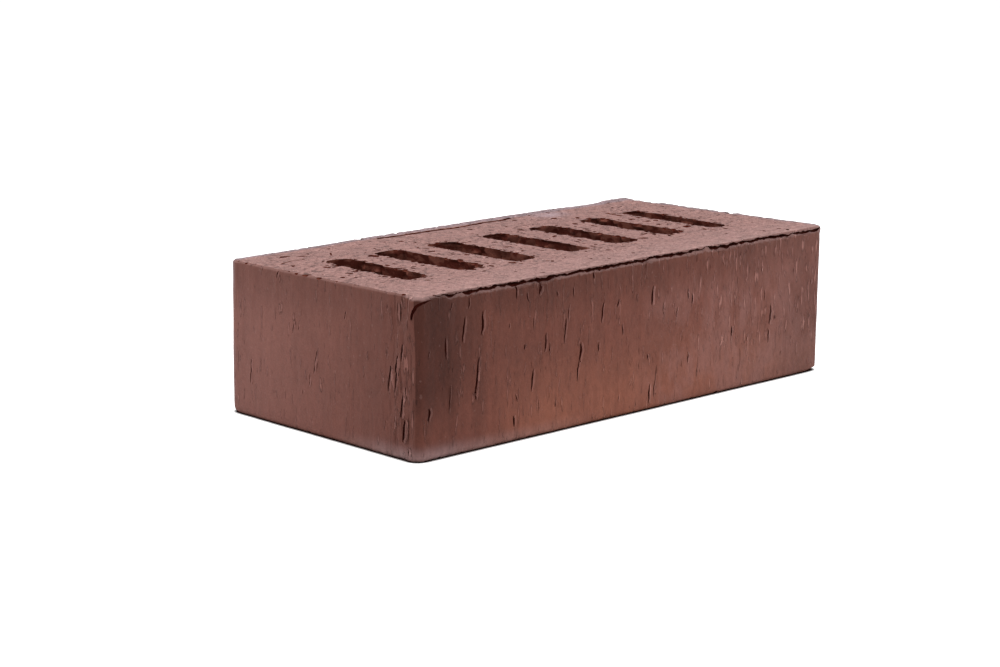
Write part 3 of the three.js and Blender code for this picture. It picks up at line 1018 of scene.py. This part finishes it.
class BrickSizes(bpy.types.PropertyGroup):
    long_side: length("Length", "Length of the stretcher faces", SIZE.x)
    short_side: length("Width", "Length of the header faces", SIZE.y)
    height: length("Height", "Height from bed to bed", SIZE.z)
    corner: length("Corner radius", "Radius of the upright arrises, from the mouth of the die", 4.5 * MM)
    lower_arris: length("Lower arris", "Radius where the faces turn in to the bed below", 2.0 * MM)
    upper_arris: length("Upper arris", "Radius where the faces turn in to the upper bed", 0.9 * MM)
    drag: length("Drag relief", "Depth of the streaks that the die leaves along the faces", 0.1 * MM)
    wire: length("Wire relief", "Depth of the waves that the cutting wire leaves in the beds", 0.2 * MM)
    core_radius: length("Core corner radius", "Radius of the upright corners of the slots", 3.6 * MM)
    tearing: length("Core tearing", "Depth to which the walls of the slots are torn", 0.5 * MM)
    seam_mouth: length("Seam mouth", "Height of the slit under the burr", 1.75 * MM)
    seed: bpy.props.IntProperty(
        name="Seed", description="Where the tears, pits and grains fall", default=7, min=0
    )


class BrickColours(bpy.types.PropertyGroup):
    body: colour("Body", "Red-brown of most of the brick", 0.162, 0.056, 0.040)
    # Also painted shade at the near arris, on the header and under the burr
    umber: colour("Umber", "Darker brown where the kiln smoked", 0.064, 0.020, 0.014)
    flame: colour("Flame", "Orange-brown low on the face", 0.232, 0.084, 0.054)
    mauve: colour("Flash", "Greyish mauve bloom", 0.202, 0.092, 0.078)
    # Also the colour of painted sheen on the beds and of painted highlights on ridges, upturned arrises and
    # the burr
    dust_and_sheen: colour("Dust", "Pale dust and grog on the beds", 0.345, 0.210, 0.195)
    bloom: colour("Bloom", "Lilac-grey film on the rims at the back", 0.330, 0.260, 0.290)
    # Also painted shade: the tears, the slit, the slots and their hollows are darkened with it
    core: colour("Torn clay", "Deep red inside slots and tears", 0.054, 0.0065, 0.004)


class StageSizes(bpy.types.PropertyGroup):
    lens: number("Lens", "Focal length, on a 36 mm sensor", 93.56, unit="CAMERA")
    azimuth: angle("Azimuth", "Where the camera stands round the brick", -45.36)
    elevation: angle("Elevation", "How high the camera looks from", 11.95)
    roll: angle("Roll", "How far the camera leans", 0.69)
    distance: length("Distance", "From the camera to the brick", 1138.1 * MM)
    aim_right: length("Aim right", "How far right of the brick's foot the camera aims", -14.8 * MM)
    aim_up: length("Aim up", "How far above the brick's foot the camera aims", 24.3 * MM)


# --- Pieces ----------------------------------------------------------------------------------


def column_levels(height):
    """Heights of the rings of the column: close together where the arrises curve, and past both beds."""
    start = FOOT_RINGS[-1]
    high = [height / MM - drop for drop in TOP_RINGS]
    middle = [start + (high[0] - start) * step / MIDDLE_STEPS for step in range(1, MIDDLE_STEPS)]
    return [level * MM for level in [*FOOT_RINGS, *middle, *high]]


def brick_inputs(sizes):
    return {"Length": sizes.long_side, "Width": sizes.short_side, "Height": sizes.height}


def empty(name):
    return helper(name, bpy.data.meshes.new(name))


class BRICK_OT_extrude(bpy.types.Operator):
    """Extrudes the column of clay through the die"""

    bl_idname = "brick.extrude"
    bl_label = "Extrude the Column"

    def execute(self, context):
        sizes = context.scene.clay_brick_sizes
        levels = column_levels(sizes.height)
        spine = points("spine", [(0.0, 0.0, level) for level in levels], path_edges(len(levels)))
        inputs = brick_inputs(sizes) | {
            "Corner radius": sizes.corner,
            "Lower arris": sizes.lower_arris,
            "Upper arris": sizes.upper_arris,
            "Drag relief": sizes.drag,
            "Point spacing": COLUMN_SPACING * MM,
        }
        grown("Column", spine, DRAWN, inputs, column_form)
        return {"FINISHED"}


class BRICK_OT_cut(bpy.types.Operator):
    """Cuts the upper and the lower bed with wires"""

    bl_idname = "brick.cut"
    bl_label = "Cut the Beds"

    def execute(self, context):
        sizes = context.scene.clay_brick_sizes
        for name, rise, side, spacing in (
            ("Upper wire", sizes.height, 1.0, UPPER_WIRE_SPACING * MM),
            ("Lower wire", 0.0, -1.0, LOWER_WIRE_SPACING * MM),
        ):
            inputs = brick_inputs(sizes) | {
                "Rise": rise,
                "Side": side,
                "Wire relief": sizes.wire,
                "Point spacing": spacing,
            }
            grown(name, empty("wire"), WIRE_CUT, inputs, wire_form)
        return {"FINISHED"}


class BRICK_OT_core(bpy.types.Operator):
    """Puts the cores that leave the seven slots"""

    bl_idname = "brick.core"
    bl_label = "Core the Slots"

    def execute(self, context):
        sizes = context.scene.clay_brick_sizes
        right, back, turn, wide, long = zip(*CORES)
        middles = [(low + high) / 2 for low, high in SLOTS]
        places = [(at.x + x * MM, at.y + y * MM, 0.0) for at, x, y in zip(middles, right, back)]
        turns = [math.radians(each) for each in turn]
        centres = points("core places", places, turn=turns, wide=wide, long=long)
        low, high = SLOTS[0]
        inputs = {
            "Height": sizes.height,
            "Core length": high.y - low.y + SLOT_CLEARANCE * 2,
            "Core width": high.x - low.x + SLOT_CLEARANCE * 2,
            "Core radius": sizes.core_radius,
            "Tearing": sizes.tearing,
            "Levels": CORE_RINGS,
            "Point spacing": CORE_SPACING * MM,
        }
        grown("Cores", centres, CORED, inputs, core_form)
        return {"FINISHED"}


class BRICK_OT_seam(bpy.types.Operator):
    """Opens the slit under the burr that the wire folded over the front arris"""

    bl_idname = "brick.seam"
    bl_label = "Open the Burr Seam"

    def execute(self, context):
        sizes = context.scene.clay_brick_sizes
        left = -sizes.long_side / 2
        front = -sizes.short_side / 2
        places = [(left + along * MM, front, sizes.height - under * MM) for along, under, _ in SEAM_PATH]
        mouths = [sizes.seam_mouth * share for _, _, share in SEAM_PATH]
        path = points("seam path", places, path_edges(len(places)), mouth=mouths)
        for name, wall, section in (("Burr seam", SLIT, SLIT_SECTION), ("Burr lip", DRAWN, LIP_SECTION)):
            loop = path_edges(len(section)) + [(len(section) - 1, 0)]
            inputs = {
                "Section": points("seam section", [(*at, 0.0) for at in section], loop),
                "Raggedness": SEAM_RAGGEDNESS * MM,
                "Point spacing": SEAM_SPACING * MM,
            }
            grown(name, path, wall, inputs, seam_form)
        return {"FINISHED"}


class BRICK_OT_tear(bpy.types.Operator):
    """Drags tears open in the faces, and lifts the ridges beside them"""

    bl_idname = "brick.tear"
    bl_label = "Drag the Tears"

    def execute(self, context):
        sizes = context.scene.clay_brick_sizes
        left = -sizes.long_side / 2
        front = -sizes.short_side / 2
        places = [(left + along * MM, front) for along, *_ in FRONT_TEARS]
        places += [(left, -front - along * MM) for along, *_ in HEADER_TEARS]
        tears = [*FRONT_TEARS, *HEADER_TEARS]
        placed = points(
            "tear places",
            [(*at, (low + high) / 2 * MM) for at, (_, low, high, _, _) in zip(places, tears)],
            facing=[(0.0, -1.0, 0.0)] * len(FRONT_TEARS) + [(-1.0, 0.0, 0.0)] * len(HEADER_TEARS),
            tall=[(high - low) / 2 * MM for _, low, high, _, _ in tears],
            wide=[(0.13 + 0.40 * strength) * MM for _, _, _, strength, _ in tears],
            deep=[(0.5 + 1.2 * strength) * MM for _, _, _, strength, _ in tears],
            lean=[-math.atan2(tilt, high - low) for _, low, high, _, tilt in tears],
        )
        for name, wall, widen, deepen, lengthen, shift in TEAR_KINDS:
            inputs = brick_inputs(sizes) | {
                "Column": bpy.data.objects["Column"],
                "Spacing": TEAR_SPACING * MM,
                "Density": TEAR_DENSITY,
                "Seed": sizes.seed,
                "Widen": widen,
                "Deepen": deepen,
                "Lengthen": lengthen,
                "Shift": shift,
                "Bend": TEAR_BEND * MM,
            }
            grown(name, placed, wall, inputs, tear_form)
        return {"FINISHED"}


class BRICK_OT_pit(bpy.types.Operator):
    """Pulls grit out of the beds, leaves grains on them, and scratches the upper one"""

    bl_idname = "brick.pit"
    bl_label = "Pit the Beds"

    def execute(self, context):
        sizes = context.scene.clay_brick_sizes
        left = -sizes.long_side / 2
        front = -sizes.short_side / 2
        holes = [(left + x * MM, front + y * MM, sizes.height) for x, y, _ in BED_HOLES]
        radii = [radius * MM for _, _, radius in BED_HOLES]
        for mark in BED_MARKS:
            name, wire, wall, rims, least, most, flatten, ragged, spacing, density, facets, seed = mark
            inputs = brick_inputs(sizes) | {
                "Cores": bpy.data.objects["Cores"],
                "Wire": bpy.data.objects[wire],
                "Rise": sizes.height if wire == "Upper wire" else 0.0,
                "On rims": rims,
                "Least": least * MM,
                "Most": most * MM,
                "Flatten": flatten,
                "Raggedness": ragged * MM,
                "Spacing": spacing * MM,
                "Density": density,
                "Facets": facets,
                "Seed": sizes.seed + seed,
            }
            placed = points("bed places", holes, radius=radii) if name == "Holes" else empty("bed places")
            grown(name, placed, wall, inputs, pit_form)
        top = sizes.height / MM + 0.1
        paths = [[(along, across, top, mouth) for along, across in path] for mouth, path in SCRATCHES]
        places, edges, mouths = [], [], []
        for path in [*paths, HOOK]:
            edges += [(len(places) + start, len(places) + end) for start, end in path_edges(len(path))]
            for along, across, rise, mouth in path:
                places.append((left + along * MM, front + across * MM, rise * MM))
                mouths.append(mouth * MM)
        inputs = {"Raggedness": SCRATCH_RAGGEDNESS * MM, "Point spacing": SCRATCH_SPACING * MM}
        lines = points("scratch paths", places, edges, mouth=mouths)
        grown("Scratches", lines, TORN, inputs, scratch_form)
        return {"FINISHED"}


class BRICK_OT_fire(bpy.types.Operator):
    """Joins the clay, takes the cuts from it and fires it"""

    bl_idname = "brick.fire"
    bl_label = "Fire the Brick"

    def execute(self, context):
        sizes = context.scene.clay_brick_sizes
        labels = ("Column", "Ridges", "Grains", *WIRES, *CUTTERS)
        inputs = brick_inputs(sizes) | {"Crease": CREASE_ANGLE}
        inputs |= {label: bpy.data.objects[label] for label in labels}
        inputs |= {label: tuple(side * MM for side in drift) for label, drift in KILN_DRIFT}
        brick = grown("clay_brick", empty("kiln"), None, inputs, fired_form)
        del brick[HELPER_MARK]
        for made in [made for made in bpy.data.objects if HELPER_MARK in made]:
            bpy.data.objects.remove(made)
        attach(brick, "root")
        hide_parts(NODE)
        return {"FINISHED"}


class BRICK_OT_stage(bpy.types.Operator):
    """Lays the white table, hangs the soft lamps and stands the camera"""

    bl_idname = "brick.stage"
    bl_label = "Set the Stage"

    def execute(self, context):
        scene = context.scene
        settings = scene.clay_brick_stage
        mesh = bpy.data.meshes.new("table")
        corners = [(x * TABLE_REACH, y * TABLE_REACH, 0.0) for x, y in ((-1, -1), (1, -1), (1, 1), (-1, 1))]
        mesh.from_pydata(corners, [], [(0, 1, 2, 3)])
        table = bpy.data.objects.new("table", mesh)
        mesh.materials.append(white("table_white", TABLE_GLOW))
        scene.collection.objects.link(table)

        for name, place, aim, width, depth, power in LAMPS:
            data = bpy.data.lights.new(name, "AREA")
            data.shape = "RECTANGLE"
            data.size = width
            data.size_y = depth
            data.energy = power
            lamp = bpy.data.objects.new(name, data)
            lamp.location = place
            lamp.visible_camera = False
            lamp.rotation_euler = (Vector(aim) - Vector(place)).to_track_quat("-Z", "Y").to_euler()
            scene.collection.objects.link(lamp)

        world = bpy.data.worlds.new("white room")
        scene.world = world
        world.use_nodes = True
        world.node_tree.nodes.clear()
        wires = Wires(world.node_tree)
        strength = seen_by_camera(wires) * (1.0 - ROOM_FILL) + ROOM_FILL
        room = wires.node("ShaderNodeBackground", None, {"Color": WHITE, "Strength": strength})
        wires.node("ShaderNodeOutputWorld", None, {"Surface": room})

        azimuth = settings.azimuth
        elevation = settings.elevation
        level = math.cos(elevation)
        back = Vector((math.sin(azimuth) * level, -math.cos(azimuth) * level, math.sin(elevation)))
        data = bpy.data.cameras.new("camera")
        data.lens = settings.lens
        data.sensor_width = SENSOR_WIDTH
        camera = bpy.data.objects.new("camera", data)
        turn = back.to_track_quat("Z", "Y").to_matrix()
        turn = turn @ Matrix.Rotation(settings.roll, 3, "Z")
        camera.rotation_euler = turn.to_euler()
        aim = turn @ Vector((settings.aim_right, settings.aim_up, 0.0))
        camera.location = back * settings.distance + aim
        scene.collection.objects.link(camera)
        scene.camera = camera
        scene.view_settings.view_transform = "Standard"
        return {"FINISHED"}


class BRICK_PT_making(bpy.types.Panel):
    """Lists the steps of making the brick, and its sizes and colours"""

    bl_idname = "BRICK_PT_making"
    bl_label = "Clay Brick"
    bl_space_type = "VIEW_3D"
    bl_region_type = "UI"
    bl_category = "Clay Brick"

    def draw(self, context):
        for step in STEPS:
            self.layout.operator(step.bl_idname)
        for group, _ in SETTINGS:
            settings = getattr(context.scene, group)
            box = self.layout.box()
            for name in settings.__annotations__:
                box.prop(settings, name)


STEPS = (
    BRICK_OT_extrude,
    BRICK_OT_cut,
    BRICK_OT_core,
    BRICK_OT_seam,
    BRICK_OT_tear,
    BRICK_OT_pit,
    BRICK_OT_fire,
    BRICK_OT_stage,
)
SETTINGS = (
    ("clay_brick_sizes", BrickSizes),
    ("clay_brick_colours", BrickColours),
    ("clay_brick_stage", StageSizes),
)
CLASSES = (BrickSizes, BrickColours, StageSizes, *STEPS, BRICK_PT_making)


def register():
    for kind in CLASSES:
        bpy.utils.register_class(kind)
    for name, kind in SETTINGS:
        setattr(bpy.types.Scene, name, bpy.props.PointerProperty(type=kind))


def unregister():
    for name, _ in SETTINGS:
        delattr(bpy.types.Scene, name)
    for kind in reversed(CLASSES):
        bpy.utils.unregister_class(kind)


def main():
    register()
    for step in (
        bpy.ops.brick.extrude,
        bpy.ops.brick.cut,
        bpy.ops.brick.core,
        bpy.ops.brick.seam,
        bpy.ops.brick.tear,
        bpy.ops.brick.pit,
        bpy.ops.brick.fire,
        bpy.ops.brick.stage,
    ):
        step()


if __name__ == "__main__":
    main()
